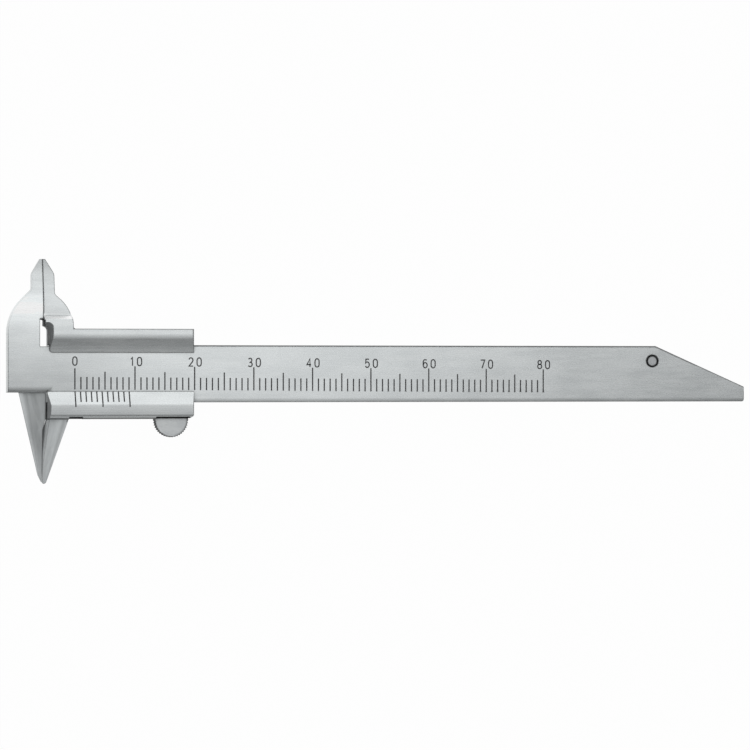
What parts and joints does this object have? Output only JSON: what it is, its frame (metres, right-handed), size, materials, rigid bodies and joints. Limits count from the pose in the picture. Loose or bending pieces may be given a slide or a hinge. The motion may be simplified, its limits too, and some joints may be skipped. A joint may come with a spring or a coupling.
{
  "type": "dental vernier caliper",
  "caption": "Small steel vernier caliper with blade jaws above the beam, pointed jaws below it, and a thumb lever that frees the slider.",
  "frame": {"origin": "under the scale's zero line, on the beam's centreline, in the plane of the slider's back face, which is the plane that the caliper lies on", "axes": "+X along the beam away from the jaws, the way the slider opens; +Y towards the upper jaws; +Z out of the graduated face"},
  "size_m": [0.1268, 0.0372, 0.0054],
  "materials": {
    "satin_steel": "satin, brushed along the beam",
    "slider_steel": "satin, brushed along the beam",
    "lever_steel": "satin with a grooved edge",
    "spring_steel": "bright, slightly blue",
    "pin_steel": "turned",
    "line_filling": "matt"
  },
  "bodies": {
    "beam": {"beam": "satin_steel", "stop_pin": "pin_steel"},
    "slider": {"slider": "slider_steel", "gib_spring": "spring_steel", "lever_pin": "pin_steel", "lever_spring": "spring_steel"},
    "lever": {"thumb_lever": "lever_steel"}
  },
  "joints": [
    {"name": "slider_slide", "type": "slide", "parent": "beam", "child": "slider", "axis": [1, 0, 0], "range_m": [0, 0.08]},
    {"name": "thumb_lever_press", "type": "hinge", "parent": "slider", "child": "lever", "pos_m": [0.0055, -0.00647, 0.00285], "axis": [0, 0, 1], "range_deg": [0, 3], "stiffness_Nm_per_rad": 0.1, "springref_deg": -2.86, "deforming": ["lever_spring"]}
  ]
}
